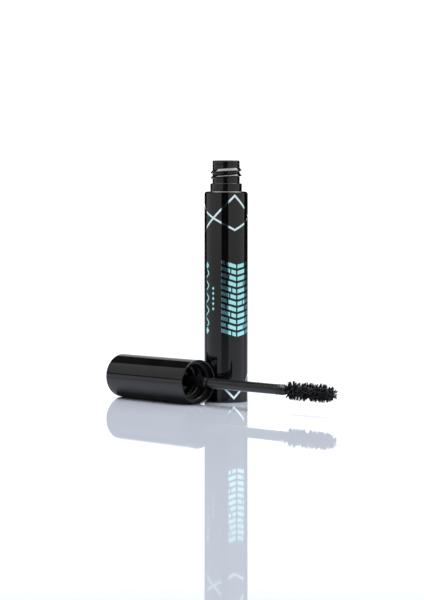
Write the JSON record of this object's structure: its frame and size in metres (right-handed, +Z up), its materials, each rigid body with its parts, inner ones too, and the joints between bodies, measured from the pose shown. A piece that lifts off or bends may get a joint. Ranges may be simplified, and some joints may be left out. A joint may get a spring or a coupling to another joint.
{
  "type": "mascara tube",
  "caption": "Opened mascara: a slim round gloss bottle with a threaded neck and wiper, and its cap lying beside it with a stem and a loaded fibre brush.",
  "frame": {"origin": "centre of the bottle's base, on the surface that the object stands on", "axes": "+Z up along the bottle's axis, +X along the lying wand from the cap towards the brush, -Y towards the cap and wand"},
  "size_m": [0.1263, 0.0367, 0.0995],
  "materials": {
    "gloss_black": "high gloss",
    "neck_black": "moulded gloss",
    "wiper_soft": "soft satin",
    "plug_black": "fine spark texture",
    "label_film": "satin film",
    "formula_black": "wet",
    "insert_black": "moulded satin",
    "liner_white": "foam",
    "stem_black": "moulded gloss",
    "wire_steel": "drawn wire",
    "bristle_black": "nylon fibre, wet",
    "foil_mint": "hot-stamped foil"
  },
  "bodies": {
    "bottle": {"outer_sleeve": "gloss_black", "inner_bottle": "neck_black", "wiper": "wiper_soft", "base_plug": "plug_black", "base_label": "label_film", "mascara_formula": "formula_black"},
    "liner": {"cap_liner": "liner_white"},
    "wand": {"cap_shell": "gloss_black", "inner_cap": "insert_black", "stem": "stem_black", "brush_core": "wire_steel", "brush_bristles": "bristle_black"}
  },
  "joints": [
    {"name": "wand_lift", "type": "slide", "parent": "bottle", "child": "liner", "axis": [0, 0, 1], "range_m": [0, 0.15]},
    {"name": "cap_turn", "type": "hinge", "parent": "liner", "child": "wand", "pos_m": [0.0035, -0.0186, 0.0091], "axis": [1, 0, 0], "range_deg": [0, 540]}
  ]
}
